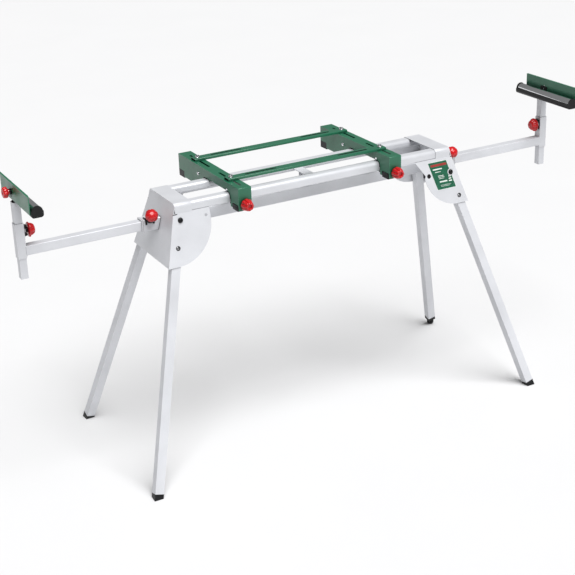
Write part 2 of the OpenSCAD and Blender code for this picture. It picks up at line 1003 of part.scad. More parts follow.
module bracket_knob(x) {
    len = 20 - bracket_front - jaw_back;
    translate([x, bracket_front - touch, bracket_knob_z])
        rotate([0, 0, -90])
            clamp_knob(24, 34, 5, len);
}
module bracket_knob_left() {
    bracket_knob(mount_left);
}
module bracket_knob_right() {
    bracket_knob(mount_right);
}

// green tool rail: an inverted channel with two long slots for the machine
module tool_rail(y) {
    color(green)
        difference() {
            along_x(tool_mid - tool_len / 2, tool_mid + tool_len / 2)
                difference() {
                    translate([y - tool_w / 2, bracket_top])
                        round_box(tool_w, tool_h, 0.5, 0.5, 3, 3);
                    translate([y - tool_w / 2 + 2.5, bracket_top - 1])
                        round_box(tool_w - 5, tool_h + 1 - 2.5, 0.5, 0.5, 1, 1);
                }
            for (s = [-1, 1])
                translate([tool_mid + s * (tool_len / 2 - 124), y, bracket_top - 1])
                    slot_x(116, slot_w, tool_h + 2);
            for (x = [mount_left, mount_right])
                translate([x, y, bracket_top - 1])
                    cylinder(r = 4 + run, h = tool_h + 2);
        }
}
module tool_rail_front() {
    tool_rail(tool_front);
}
module tool_rail_rear() {
    tool_rail(tool_rear);
}

// hex-socket bolts with washers and nuts that hold a tool rail to both brackets
module rail_bolts(y) {
    color(steel)
        for (x = [mount_left, mount_right])
            translate([x, y, 0])
                difference() {
                    union() {
                        translate([0, 0, tool_top + 1.4])
                            cylinder(r = 6.5, h = 5.5);
                        translate([0, 0, tool_top])
                            cylinder(r = 8.5, h = 1.4);
                        translate([0, 0, bracket_top - bracket_t - 9])
                            cylinder(r = 4, h = tool_h + 13);
                        translate([0, 0, bracket_top - bracket_t - 7])
                            cylinder(r = 7, h = 7, $fn = 6);
                    }
                    translate([0, 0, tool_top + 3.6])
                        cylinder(r = 3.6, h = 6, $fn = 6);
                }
}
module bolts_front() {
    rail_bolts(tool_front);
}
module bolts_rear() {
    rail_bolts(tool_rear);
}

rail_front();
rail_rear();
cross_member();
guide_tube();
housing_left();
housing_right();
bush_left();
bush_right();
data_label();
pivot_front_left();
pivot_rear_left();
pivot_front_right();
pivot_rear_right();
leg_front_left();
leg_rear_left();
leg_front_right();
leg_rear_right();
foot_front_left();
foot_rear_left();
foot_front_right();
foot_rear_right();
lock_front_left();
lock_rear_left();
lock_front_right();
lock_rear_right();
levelling_foot();
arm_left();
arm_right();
arm_knob_left();
arm_knob_right();
post_left();
post_right();
post_knob_left();
post_knob_right();
cradle_left();
cradle_right();
roller_left();
roller_right();
stop_left();
stop_right();
stop_knob_left();
stop_knob_right();
bracket_left();
bracket_right();
pad_left();
pad_right();
shoe_left();
shoe_right();
jaw_left();
jaw_right();
bracket_knob_left();
bracket_knob_right();
tool_rail_front();
tool_rail_rear();
bolts_front();
bolts_rear();
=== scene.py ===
"""Extending work stand for a mitre saw: materials, small parts, floor, light and camera.

The frame is the CAD model's: X along the bed, -Y the side with the bracket knobs, Z up, metres.
The small parts are laid out in millimetres, which point() and box_of() turn to and from metres.
"""
import json
import math

import bmesh
import bpy
from mathutils import Matrix, Vector


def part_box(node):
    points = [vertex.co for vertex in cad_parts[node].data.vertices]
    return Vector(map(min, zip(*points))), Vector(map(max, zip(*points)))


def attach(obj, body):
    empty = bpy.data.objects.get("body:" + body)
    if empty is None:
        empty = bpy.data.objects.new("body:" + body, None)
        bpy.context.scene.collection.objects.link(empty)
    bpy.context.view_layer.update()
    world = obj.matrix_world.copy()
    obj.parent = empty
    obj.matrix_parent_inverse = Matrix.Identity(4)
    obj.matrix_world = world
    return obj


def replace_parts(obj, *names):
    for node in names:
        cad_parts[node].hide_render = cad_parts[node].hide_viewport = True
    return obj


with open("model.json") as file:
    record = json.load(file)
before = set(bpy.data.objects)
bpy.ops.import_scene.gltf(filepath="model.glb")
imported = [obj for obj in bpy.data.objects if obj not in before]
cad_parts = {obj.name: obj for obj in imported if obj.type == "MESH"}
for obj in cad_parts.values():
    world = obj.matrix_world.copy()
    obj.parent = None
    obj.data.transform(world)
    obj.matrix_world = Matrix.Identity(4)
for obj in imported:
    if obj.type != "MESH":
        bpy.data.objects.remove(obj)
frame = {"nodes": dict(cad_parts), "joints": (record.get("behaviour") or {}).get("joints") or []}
NODES = frame["nodes"]
JOINTS = {joint["name"]: joint for joint in frame["joints"]}
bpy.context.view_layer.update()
MM = 0.001
SIDES = {"left": -1, "right": 1}
ENDS = ("front", "rear")
SPLAY = math.radians(15)
LEAN = math.radians(15)
QUARTER = math.pi / 2
IDENTITY = Matrix.Identity(4)


# ---------------------------------------------------------------- materials

def new_material(name, colour, rough, metallic=0.0, **sockets):
    """A material with a Principled shader; returns it with its node tree and its shader."""
    material = bpy.data.materials.new(name)
    material.use_nodes = True
    tree = material.node_tree
    shader = tree.nodes["Principled BSDF"]
    shader.inputs["Base Color"].default_value = (*colour, 1)
    shader.inputs["Roughness"].default_value = rough
    shader.inputs["Metallic"].default_value = metallic
    for socket, value in sockets.items():
        shader.inputs[socket.replace("_", " ")].default_value = value
    return material, tree, shader


def noise(tree, scale, detail, stretch=(1, 1, 1)):
    """Noise over the object's own coordinates, in features per metre."""
    coords = tree.nodes.new("ShaderNodeTexCoord")
    mapping = tree.nodes.new("ShaderNodeMapping")
    mapping.inputs["Scale"].default_value = stretch
    texture = tree.nodes.new("ShaderNodeTexNoise")
    texture.inputs["Scale"].default_value = scale
    texture.inputs["Detail"].default_value = detail
    texture.inputs["Roughness"].default_value = 0.5
    tree.links.new(coords.outputs["Object"], mapping.inputs["Vector"])
    tree.links.new(mapping.outputs["Vector"], texture.inputs["Vector"])
    return texture.outputs["Fac"]


def spread(tree, value, low, high, from_low=0.3, from_high=0.7):
    """Maps a value to the range from low to high; the default source range is a noise's."""
    node = tree.nodes.new("ShaderNodeMapRange")
    node.inputs["From Min"].default_value = from_low
    node.inputs["From Max"].default_value = from_high
    node.inputs["To Min"].default_value = low
    node.inputs["To Max"].default_value = high
    tree.links.new(value, node.inputs["Value"])
    return node.outputs["Result"]


def two_colours(tree, value, dark, light):
    """Mixes two colours by a value from 0 to 1."""
    node = tree.nodes.new("ShaderNodeMix")
    node.data_type = "RGBA"
    node.inputs["A"].default_value = (*dark, 1)
    node.inputs["B"].default_value = (*light, 1)
    tree.links.new(value, node.inputs["Factor"])
    return node.outputs["Result"]


def times(tree, colour, factor):
    """A colour times a number, both from other nodes."""
    node = tree.nodes.new("ShaderNodeVectorMath")
    node.operation = "SCALE"
    tree.links.new(colour, node.inputs[0])
    tree.links.new(factor, node.inputs["Scale"])
    return node.outputs["Vector"]


def toned(colour, factor):
    """A colour made darker or lighter."""
    return tuple(min(1.0, factor * part) for part in colour)


def openness(tree, distance):
    """0 in a deep hollow, 1 on a free face."""
    node = tree.nodes.new("ShaderNodeAmbientOcclusion")
    node.samples = 6
    node.inputs["Distance"].default_value = distance
    return node.outputs["AO"]


def flatness(tree, radius):
    """1 on a flat face, less within a radius of an edge."""
    rounded = tree.nodes.new("ShaderNodeBevel")
    rounded.samples = 4
    rounded.inputs["Radius"].default_value = radius
    surface = tree.nodes.new("ShaderNodeNewGeometry")
    turn = tree.nodes.new("ShaderNodeVectorMath")
    turn.operation = "DOT_PRODUCT"
    tree.links.new(rounded.outputs["Normal"], turn.inputs[0])
    tree.links.new(surface.outputs["Normal"], turn.inputs[1])
    return turn.outputs["Value"]


def bump(tree, shader, height, strength, distance):
    """Fine relief on the shader's normal."""
    node = tree.nodes.new("ShaderNodeBump")
    node.inputs["Strength"].default_value = strength
    node.inputs["Distance"].default_value = distance
    tree.links.new(height, node.inputs["Height"])
    tree.links.new(node.outputs["Normal"], shader.inputs["Normal"])


def paint(name, colour, rough, metallic, hollow, edge, **sockets):
    """Sprayed paint: clouds, fine flake, orange peel, uneven gloss, painted shade in hollows and painted
    highlights on edges.

    hollow and edge say how dark the painted shade in a deep hollow and how light the painted highlight on an
    edge get, as factors of the colour.
    """
    material, tree, shader = new_material(name, colour, rough, metallic, **sockets)
    cloud = spread(tree, noise(tree, scale=9, detail=4), 0.0, 1.0)
    flake = spread(tree, noise(tree, scale=1500, detail=2), 0.96, 1.05)
    # painted shade: the colour darkened where other surfaces are near, down to hollow times the colour in a
    # deep hollow
    painted_hollow_shade = spread(tree, openness(tree, distance=0.022), hollow, 1.0, from_low=0.15, from_high=0.85)
    # painted highlight: the colour lightened near rounded edges, up to edge times the colour
    painted_edge_highlight = spread(tree, flatness(tree, radius=0.0016), edge, 1.0, from_low=0.80, from_high=0.99)
    base = two_colours(tree, cloud, toned(colour, 0.93), toned(colour, 1.05))
    base = times(tree, times(tree, times(tree, base, flake), painted_hollow_shade), painted_edge_highlight)
    gloss = spread(tree, noise(tree, scale=22, detail=5), rough - 0.05, rough + 0.07)
    tree.links.new(base, shader.inputs["Base Color"])
    tree.links.new(gloss, shader.inputs["Roughness"])
    bump(tree, shader, noise(tree, scale=420, detail=2), strength=0.12, distance=0.0002)
    return material


def plastic(name, colour, rough, grain=900, relief=0.15, **sockets):
    """Moulded plastic: fine spark-eroded grain and slightly uneven gloss."""
    material, tree, shader = new_material(name, colour, rough, **sockets)
    tone = spread(tree, noise(tree, scale=60, detail=3), 0.0, 1.0)
    base = two_colours(tree, tone, toned(colour, 0.88), toned(colour, 1.12))
    gloss = spread(tree, noise(tree, scale=80, detail=4), rough - 0.05, rough + 0.08)
    tree.links.new(base, shader.inputs["Base Color"])
    tree.links.new(gloss, shader.inputs["Roughness"])
    bump(tree, shader, noise(tree, scale=grain, detail=3), strength=relief, distance=0.0002)
    return material


def metal(name, colour, rough, scale, stretch=(1, 1, 1), relief=0.08):
    """Bare metal with drawing or grinding lines along one direction."""
    material, tree, shader = new_material(name, colour, rough, 1.0)
    lines = noise(tree, scale, detail=4, stretch=stretch)
    base = two_colours(tree, spread(tree, lines, 0.0, 1.0), toned(colour, 0.9), colour)
    tree.links.new(base, shader.inputs["Base Color"])
    tree.links.new(spread(tree, lines, 0.75 * rough, 1.4 * rough), shader.inputs["Roughness"])
    bump(tree, shader, lines, strength=relief, distance=0.0001)
    return material


# both paints carry painted shade in hollows (hollow) and painted highlights on edges (edge); the green's are
# strong
SILVER = paint("silver_paint", (0.63, 0.64, 0.67), 0.4, 0.12, hollow=0.42, edge=1.12, Coat_Weight=0.08)
GREEN = paint("green_paint", (0.015, 0.132, 0.069), 0.33, 0.0, hollow=0.10, edge=2.1, Coat_Weight=0.1)
RED = plastic("red_plastic", (0.50, 0.005, 0.008), 0.24, relief=0.05, Coat_Weight=0.15)
BLACK = plastic("black_plastic", (0.008, 0.008, 0.009), 0.42, Specular_IOR_Level=0.25)
RUBBER = plastic("rubber", (0.007, 0.007, 0.008), 0.7, grain=1500, relief=0.3, Specular_IOR_Level=0.2)
CHROME = metal("chrome", (0.86, 0.87, 0.89), 0.07, scale=700, stretch=(1, 0.02, 1), relief=0.02)
ZINC = metal("zinc_steel", (0.66, 0.67, 0.69), 0.27, scale=260)
PALE = plastic("label_print", (0.72, 0.76, 0.73), 0.3, relief=0.03)
STRIPE = plastic("label_stripe", (0.30, 0.035, 0.03), 0.3, relief=0.03)
FILM = plastic("label_film", (0.012, 0.105, 0.055), 0.3, relief=0.04, Coat_Weight=0.1)


# ---------------------------------------------------------------- CAD nodes

# materials by the start of a node's name, the first that fits; the rest are black plastic
MATERIAL_OF = {
    ("bracket_knob", "arm_knob", "post_knob", "stop_knob"): RED,
    ("bracket", "tool_rail", "stop"): GREEN,
    ("rail", "cross", "guide", "housing", "leg_", "arm", "post"): SILVER,
    ("roller",): CHROME,
    ("lock", "bolts"): ZINC,
    ("pad",): RUBBER,
    ("data_label",): FILM,
}
# width of the rounded edges in millimetres, by the start of a node's name
EDGE_OF = {"data_label": 0.1, "tool_rail": 0.9, "bracket": 1.1, "bolts": 0.3, "lock": 0.2}
PLAIN_EDGE = 0.5


def cad_material(name):
    """The material of a CAD node."""
    return next((material for starts, material in MATERIAL_OF.items() if name.startswith(starts)), BLACK)


def soften(obj, width):
    """Joins split corners, clears flat faces of triangles and rounds the edges."""
    weld = obj.modifiers.new("weld", "WELD")
    weld.merge_threshold = 0.00002
    flat = obj.modifiers.new("flat", "DECIMATE")
    flat.decimate_type = "DISSOLVE"
    flat.angle_limit = math.radians(0.4)
    bevel = obj.modifiers.new("edges", "BEVEL")
    bevel.width = width
    bevel.segments = 2
    bevel.limit_method = "ANGLE"
    bevel.angle_limit = math.radians(32)
    bevel.harden_normals = True


for name, node in NODES.items():
    node.data.materials.clear()
    node.data.materials.append(cad_material(name))
    soften(node, next((width for start, width in EDGE_OF.items() if name.startswith(start)), PLAIN_EDGE) * MM)


# ---------------------------------------------------------------- shapes and places

def point(*mm):
    """A place given in millimetres."""
    return Vector(mm) * MM


def box_of(node):
    """The two corners of a CAD node's box in millimetres."""
    low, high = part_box(node)
    return Vector(low) / MM, Vector(high) / MM


def spot_of(joint):
    """A joint's place in metres and its axis."""
    return Vector(JOINTS[joint]["pos_m"]), Vector(JOINTS[joint]["axis"])


def turn_to(axis, place):
    """Matrix whose X axis runs along axis, with its origin at place."""
    x = Vector(axis).normalized()
    guide = Vector((0, 0, 1)) if abs(x.z) < 0.95 else Vector((0, 1, 0))
    y = guide.cross(x).normalized()
    matrix = Matrix((x, y, x.cross(y))).transposed().to_4x4()
    matrix.translation = place
    return matrix


def add_piece(name, mesh, matrix, material, body, crease=35):
    """Turns a bmesh into a piece that rides on a body."""
    bmesh.ops.transform(mesh, matrix=matrix, verts=mesh.verts)
    bmesh.ops.recalc_face_normals(mesh, faces=mesh.faces)
    data = bpy.data.meshes.new(name)
    mesh.to_mesh(data)
    mesh.free()
    data.materials.append(material)
    data.polygons.foreach_set("use_smooth", [True] * len(data.polygons))
    data.set_sharp_from_angle(angle=math.radians(crease))
    piece = bpy.data.objects.new(name, data)
    bpy.context.scene.collection.objects.link(piece)
    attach(piece, body)
    return piece


def turned(profile, ribs=0, around=48):
    """Turned shape about X from rows of (x, ridge radius, groove radius) in millimetres."""
    ridge_fullness = 0.45
    mesh = bmesh.new()
    rings = []
    for x, ridge, groove in profile:
        count = around if ridge else 1
        ring = []
        for k in range(count):
            angle = 2 * math.pi * k / count
            lift = abs(math.cos(ribs * angle / 2)) ** ridge_fullness if ribs else 1.0
            r = groove + (ridge - groove) * lift
            ring.append(mesh.verts.new(point(x, r * math.cos(angle), r * math.sin(angle))))
        rings.append(ring)
    for a, b in zip(rings, rings[1:]):
        for k in range(max(len(a), len(b))):
            corners = [a[k % len(a)], a[(k + 1) % len(a)], b[(k + 1) % len(b)], b[k % len(b)]]
            mesh.faces.new(list(dict.fromkeys(corners)))
    return mesh


def round_rows(*rows):
    """Rows of (x, radius) as rows for a plain turned shape."""
    return [(x, r, r) for x, r in rows]


def block(low, high, edge, taper=0.0):
    """Box between two corners in millimetres with rounded edges; its upper end may taper."""
    mesh = bmesh.new()
    bmesh.ops.create_cube(mesh, size=1)
    low, high = Vector(low), Vector(high)
    for vert in mesh.verts:
        squeeze = 1 - taper if vert.co.z > 0 else 1.0
        spot = Vector((vert.co.x * squeeze, vert.co.y * squeeze, vert.co.z)) + Vector((0.5, 0.5, 0.5))
        vert.co = Vector(low[k] + (high[k] - low[k]) * spot[k] for k in range(3)) * MM
    bmesh.ops.bevel(mesh, geom=mesh.edges[:], offset=edge * MM, segments=2, affect="EDGES", profile=0.5)
    return mesh


def bead(name, start, end, radius, material, body, ripple):
    """A weld bead or gasket line between two places in millimetres."""
    start, end = Vector(start), Vector(end)
    length = (end - start).length
    steps = max(6, int(length / 1.2))
    rows = [(0, 0)]
    for k in range(steps + 1):
        x = length * k / steps
        near_end = min(1.0, 0.35 + min(x, length - x) / radius)
        waves = 1 + ripple * math.sin(2.4 * x) + 0.4 * ripple * math.sin(0.9 * x + 1)
        rows.append((x, radius * near_end * waves))
    rows.append((length, 0))
    add_piece(name, turned(round_rows(*rows), 0, 10), turn_to(end - start, start * MM), material, body, 60)


TUBE_LOW, TUBE_HIGH = box_of("guide_tube")
TUBE_FRONT, TUBE_TOP, TUBE_BOTTOM = TUBE_LOW.y, TUBE_HIGH.z, TUBE_LOW.z
TUBE_MIDDLE = (TUBE_TOP + TUBE_BOTTOM) / 2


# ---------------------------------------------------------------- clamp knobs

# rows of (distance from the knob's base, ridge radius, groove radius); some end in a sunk hole
BRACKET_KNOB = [
    (0, 0, 0), (0, 13, 13), (2, 14, 13.6), (3.5, 17.4, 15.6), (6, 19.8, 16.8), (10, 20.6, 17),
    (17, 19.4, 15.6), (25, 17, 13.2), (30.5, 14.8, 11.6), (33, 13.2, 10.8), (34, 11, 10.2),
    (34, 8.2, 8.2), (33.2, 7.4, 7.4), (28, 6.6, 6.6), (28, 0, 0),
]
ARM_KNOB = [
    (0, 0, 0), (0, 13, 13), (2, 13.6, 13.6), (3.5, 16.8, 15.4), (6.5, 19.8, 17.6), (11, 21.6, 19),
    (17, 21.6, 18.8), (22.5, 19.6, 17.2), (27.5, 15.6, 13.8), (30.6, 10.4, 9.4), (32, 6, 6),
    (32.3, 3.4, 3.4), (32.5, 0, 0),
]
POST_KNOB = [
    (0, 0, 0), (0, 17, 17), (1, 22.6, 22.6), (2.4, 24, 24), (4.4, 24, 24), (5.4, 22.6, 22),
    (6, 20.8, 18), (10, 20.4, 16.8), (15, 18, 14.8), (19, 15.6, 13.2), (21, 12.6, 11.6),
    (21, 7.4, 7.4), (19, 6.4, 6.4), (19, 0, 0),
]
STOP_KNOB = [
    (0, 0, 0), (0, 9.5, 9.5), (3.6, 9, 9), (5, 11, 11), (5.8, 16.4, 15.4), (7.2, 18, 16),
    (12, 18, 15.4), (16.6, 17.2, 14.8), (19, 15.6, 13.8), (20, 13, 12.4), (20, 6.6, 6.6),
    (18.4, 5.6, 5.6), (18.4, 0, 0),
]
# rows of (distance from the joint's place, radius)
POST_COLLAR = round_rows((19.6, 4.2), (19.6, 8), (20.4, 8.6), (26.6, 8.6), (28, 8), (28, 4.2))
STOP_COLLAR = round_rows((10.7, 3.2), (10.7, 9.4), (11.8, 10), (15, 8.6), (16.2, 8), (16.2, 3.2))


def knob(node, joint, base, profile, screw_r, screw_back, ribs=8):
    """A ribbed knob on its joint's axis, its base outside the joint's place, and its screw."""
    screw_in_knob, chamfer = 2, 0.6
    place, axis = spot_of(joint)
    where = turn_to(axis, place + axis * base * MM)
    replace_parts(add_piece(f"{node}_grip", turned(profile, ribs, 96), where, RED, node, 50), node)
    rows = round_rows((-screw_back, 0), (-screw_back, screw_r - chamfer), (-screw_back + chamfer, screw_r),
                      (screw_in_knob, screw_r), (screw_in_knob, 0))
    add_piece(f"{node}_screw", turned(rows, 0, 24), where, ZINC, node)


for side in SIDES:
    knob(f"bracket_knob_{side}", f"mount_clamp_{side}", 0.3, BRACKET_KNOB, screw_r=4.9, screw_back=26)
    knob(f"arm_knob_{side}", f"arm_clamp_{side}", 12, ARM_KNOB, screw_r=3.9, screw_back=18.5, ribs=6)
    knob(f"post_knob_{side}", f"post_clamp_{side}", 28.2, POST_KNOB, screw_r=3.9, screw_back=15.8)
    knob(f"stop_knob_{side}", f"stop_clamp_{side}", 16.3, STOP_KNOB, screw_r=2.9, screw_back=10.6)
    for kind, collar in (("post", POST_COLLAR), ("stop", STOP_COLLAR)):
        place, axis = spot_of(f"{kind}_clamp_{side}")
        add_piece(f"{kind}_collar_{side}", turned(collar), turn_to(axis, place), BLACK, f"{kind}_knob_{side}")


# ---------------------------------------------------------------- ends of the guide tube

SADDLE_BOSS = round_rows((0, 0), (0, 14.5), (2.4, 14), (5, 11.6), (11.4, 10), (11.6, 4.2), (11.6, 0))
# distance of the fork's prongs from the knob's axis
SADDLE_SPREAD = 13.5
# how far the painted rim stands out past the tube, and half of its opening
RIM_OUT, RIM_BORE = 0.3, 16.2
# upper end of an end plate's outer face, and its lean
PLATE_TOP_X = box_of("rail_front")[1].x + 3
PLATE_TOP_Z = box_of("housing_left")[1].z - 4
PLATE_SLOPE = math.tan(LEAN) / math.cos(SPLAY)


def plate_x(z):
    """Distance of an end plate's outer face from the middle of the bed at a height, in mm."""
    return PLATE_TOP_X + (PLATE_TOP_Z - z) * PLATE_SLOPE


def arm_saddle(side):
    """Forked black cap over the guide tube, under the arm's knob."""
    place, axis = spot_of(f"arm_clamp_{side}")
    middle = place.x / MM
    for k, dx in enumerate((-SADDLE_SPREAD, SADDLE_SPREAD)):
        fang = block((-3.6, -2.0, 0), (3.6, 2.2, 17), 0.7, taper=0.45)
        down = Matrix.Translation(point(middle + dx, TUBE_FRONT - 1.6, TUBE_TOP + 1)) \
            @ Matrix.Rotation(math.pi, 4, "X")
        add_piece(f"saddle_{side}_fang_{k}", fang, down, BLACK, "bed")
        prong = block((-3.4, -2.0, 0), (3.4, 1.8, 24), 0.7, taper=0.45)
        back = Matrix.Translation(point(middle + dx, TUBE_FRONT - 1, TUBE_TOP + 2)) \
            @ Matrix.Rotation(-QUARTER, 4, "X")
        add_piece(f"saddle_{side}_prong_{k}", prong, back, BLACK, "bed")
    add_piece(f"saddle_{side}_boss", turned(SADDLE_BOSS), turn_to(axis, place), BLACK, "bed")


def tube_rim(side, sign):
    """Painted rim of four bars over the plastic lip at the end of the guide tube."""
    near, far = sorted((sign * (TUBE_HIGH.x + 0.9), sign * (TUBE_HIGH.x + 4.4)))
    half = RIM_OUT - TUBE_FRONT
    top = (-half, RIM_BORE, half, half)
    bottom = (-half, -half, half, -RIM_BORE)
    front = (-half, -RIM_BORE, -RIM_BORE, RIM_BORE)
    rear = (RIM_BORE, -RIM_BORE, half, RIM_BORE)
    for k, (y0, z0, y1, z1) in enumerate((top, bottom, front, rear)):
        bar = block((near, y0, TUBE_MIDDLE + z0), (far, y1, TUBE_MIDDLE + z1), 0.4)
        add_piece(f"tube_rim_{side}_{k}", bar, IDENTITY, SILVER, "bed")


def tube_gasket(side, sign):
    """Rubber line round the guide tube where it leaves the end plate."""
    upper, lower = (sign * (plate_x(z) + 0.6) for z in (TUBE_TOP, TUBE_BOTTOM))
    corners = [(upper, TUBE_FRONT, TUBE_TOP), (upper, -TUBE_FRONT, TUBE_TOP),
               (lower, -TUBE_FRONT, TUBE_BOTTOM), (lower, TUBE_FRONT, TUBE_BOTTOM)]
    for k in range(4):
        bead(f"gasket_{side}_{k}", corners[k], corners[(k + 1) % 4], 0.8, RUBBER, "bed", ripple=0.03)


for side, sign in SIDES.items():
    arm_saddle(side)
    tube_rim(side, sign)
    tube_gasket(side, sign)


# ---------------------------------------------------------------- height posts and their sleeves

# half widths of the sleeve, of its liner's rim, of the arm and of the post's plug
SLEEVE_HALF, LINER_HALF, ARM_HALF, POST_HALF = 14.2, 13.6, 15.5, 12.3


def post_fork(side, sign, face):
    """Forked black boss of the post's clamp, on the sleeve's inner face."""
    height = spot_of(f"post_clamp_{side}")[0].z / MM
    for k, up in enumerate((1, -1)):
        prong = block((-9, -4, 0), (9, 4, 11.5), 0.8, taper=0.22)
        out = Matrix.Translation(point(face, 0, height + up * 13.5)) \
            @ Matrix.Rotation(-sign * QUARTER, 4, "Y") @ Matrix.Rotation(QUARTER, 4, "Z")
        add_piece(f"fork_{side}_{k}", prong, out, BLACK, f"arm_{side}")
    near, far = sorted((face, face - sign * 2.2))
    base = block((near, -11, height - 18), (far, 11, height + 18), 0.7)
    add_piece(f"fork_{side}_base", base, IDENTITY, BLACK, f"arm_{side}")


def arm_weld(side, face):
    """Weld beads above and below the arm, where it meets the sleeve."""
    reach = 13.6
    below, above = TUBE_MIDDLE - ARM_HALF, TUBE_MIDDLE + ARM_HALF
    for k, y, z in ((0, -reach, below), (2, reach, above)):
        bead(f"weld_{side}_{k}", (face, y, z), (face, -y, z), 1.7, SILVER, f"arm_{side}", ripple=0.12)


def sleeve_rim(side, middle, height):
    """Plastic liner that shows round the post at the top of the sleeve."""
    corners = ((-1, -1), (1, -1), (1, 1), (-1, 1))
    places = [(middle + x * LINER_HALF, y * LINER_HALF, height) for x, y in corners]
    for k in range(4):
        bead(f"rim_{side}_{k}", places[k], places[(k + 1) % 4], 0.8, ZINC, f"arm_{side}", ripple=0.0)


def post_cap(side, middle):
    """Plug of the post's lower end."""
    low = box_of(f"post_{side}")[0].z
    cap = block((middle - POST_HALF, -POST_HALF, low - 0.8), (middle + POST_HALF, POST_HALF, low + 3.4), 0.8)
    add_piece(f"post_cap_{side}", cap, IDENTITY, SILVER, f"post_{side}")


for side, sign in SIDES.items():
    middle = spot_of(f"post_clamp_{side}")[0].x / MM
    face = middle - sign * SLEEVE_HALF
    post_fork(side, sign, face)
    arm_weld(side, face)
    sleeve_rim(side, middle, box_of(f"arm_{side}")[1].z + 0.2)
    post_cap(side, middle)


# ---------------------------------------------------------------- leg pivots, locks and feet

# rows of (distance out of the side plate, radius)
PIVOT_CAP = round_rows((0, 0), (0, 8.2), (0.8, 8.8), (1.6, 8.4), (3.8, 8.0), (5.0, 7.0), (5.8, 5.2),
                       (6.2, 3.0), (5.8, 2.6), (5.2, 2.2), (5.2, 0))
PIVOT_SHAFT = round_rows((-41, 0), (-41, 3.4), (-40.4, 4), (0, 4), (0, 0))
PIVOT_NUT = round_rows((-39, 4), (-39, 7.4), (-38.4, 8.4), (-33.9, 8.4), (-33.3, 7.4), (-33.3, 4))
LOCK_RING = round_rows((-1.6, 5.5), (-1.6, 6.9), (0.2, 6.9), (0.5, 7.6), (0.9, 7.2), (0.9, 6.4), (-0.4, 5.5),
                       (-1.6, 5.5))
FOLD_PLUG = round_rows((-1.6, 0), (-1.6, 6.9), (0.2, 6.9), (0.5, 7.6), (0.9, 7.2), (0.9, 5.6), (0.1, 5.0),
                       (0.1, 0))
# distance of the lock from the pivot
LOCK_RADIUS = 90
# a slit between hood and side plate, where a black slab stands as painted shade of the gap: its two ends
# along the plate and its height, from the pivot
HOOD_SLIT = {"left": (-21.5, -8, 18.5), "right": (-12.6, -7.2, 51.2)}
SLIT_HEIGHT = 2.8
# the leg's middle behind the pivot; the foot band's faces behind the pivot, half its width, and its
# lower and upper edge over the leg's end
LEG_AXIS_IN = 18
LEG_OUTER, LEG_INNER, LEG_SIDE = 2.4, 33.6, 15.6
BAND_LOW, BAND_HIGH = 12, 14.6


def plate_turn(side, end):
    """Matrix of one side plate: X to the bed's middle, Y inward, Z up the plate; origin at the pivot."""
    matrix = Matrix.Rotation(-SPLAY, 4, "X")
    if end == "rear":
        matrix = Matrix.Scale(-1, 4, (0, 1, 0)) @ matrix
    if side == "right":
        matrix = Matrix.Scale(-1, 4, (1, 0, 0)) @ matrix
    return Matrix.Translation(spot_of(f"fold_{end}_{side}")[0]) @ matrix


def leg_fittings(side, end):
    """Pivot, lock ring, fold plug, a black slab of painted shade in the hood slit, and foot band of one leg.
    """
    plate = plate_turn(side, end)
    leg = plate @ Matrix.Rotation(LEAN, 4, "Y")
    outward = (plate.to_3x3() @ Vector((0, -1, 0))).normalized()
    pivot = turn_to(outward, plate.translation)
    cap = add_piece(f"pivot_cap_{end}_{side}", turned(PIVOT_CAP), pivot, BLACK, "bed")
    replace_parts(cap, f"pivot_{end}_{side}")
    add_piece(f"pivot_shaft_{end}_{side}", turned(PIVOT_SHAFT, 0, 24), pivot, ZINC, "bed")
    add_piece(f"pivot_nut_{end}_{side}", turned(PIVOT_NUT, 0, 6), pivot, ZINC, "bed", 25)
    lock = turn_to(outward, leg @ point(0, 0, -LOCK_RADIUS))
    add_piece(f"lock_ring_{end}_{side}", turned(LOCK_RING), lock, BLACK, "bed")
    if side == "right":
        folded = turn_to(outward, plate @ point(LOCK_RADIUS, 0, 0))
        add_piece(f"fold_plug_{end}", turned(FOLD_PLUG), folded, BLACK, "bed")
    # a black slab just inside the side plate behind the hood slit: painted shade of the gap
    x0, x1, z = HOOD_SLIT[side]
    slit = block((x0, 0.2, z), (x1, 1.7, z + SLIT_HEIGHT), 0.3)
    add_piece(f"hood_slit_shade_{end}_{side}", slit, plate, BLACK, "bed")
    if (side, end) != ("right", "rear"):
        drop = plate.translation.z / MM - LEG_AXIS_IN * math.sin(SPLAY)
        reach = drop / (math.cos(LEAN) * math.cos(SPLAY))
        band = block((-LEG_SIDE, LEG_OUTER, BAND_LOW - reach), (LEG_SIDE, LEG_INNER, BAND_HIGH - reach), 0.5)
        add_piece(f"foot_band_{end}_{side}", band, leg, BLACK, f"leg_{end}_{side}")


for side in SIDES:
    for end in ENDS:
        leg_fittings(side, end)


# ---------------------------------------------------------------- saw mount

# screws through a bracket's side walls: place along Y, height, radius of the head
BRACKET_SCREWS = ((-77, 896, 4.6), (139, 893, 6.6))
TOOL_SLOT_LENGTH, TOOL_SLOT_WIDTH, TOOL_SLOT_FROM_END = 116, 8.4, 124
# section of the black ring of painted shade on a slot's wall: rows of (distance inside the slot's wall,
# height under the ring's top)
SLOT_SHADE_SECTION = ((0.02, 0.0), (0.02, -6.2), (0.18, -6.2), (0.18, -0.1), (0.1, 0.0))
SLOT_SHADE_AROUND = 40


def screw_head(r):
    """Dished screw head of radius r."""
    return round_rows((0, 0), (0, r), (1.6, 0.96 * r), (3.0, 0.74 * r), (3.2, 0.5 * r),
                      (1.4, 0.4 * r), (1.4, 0))


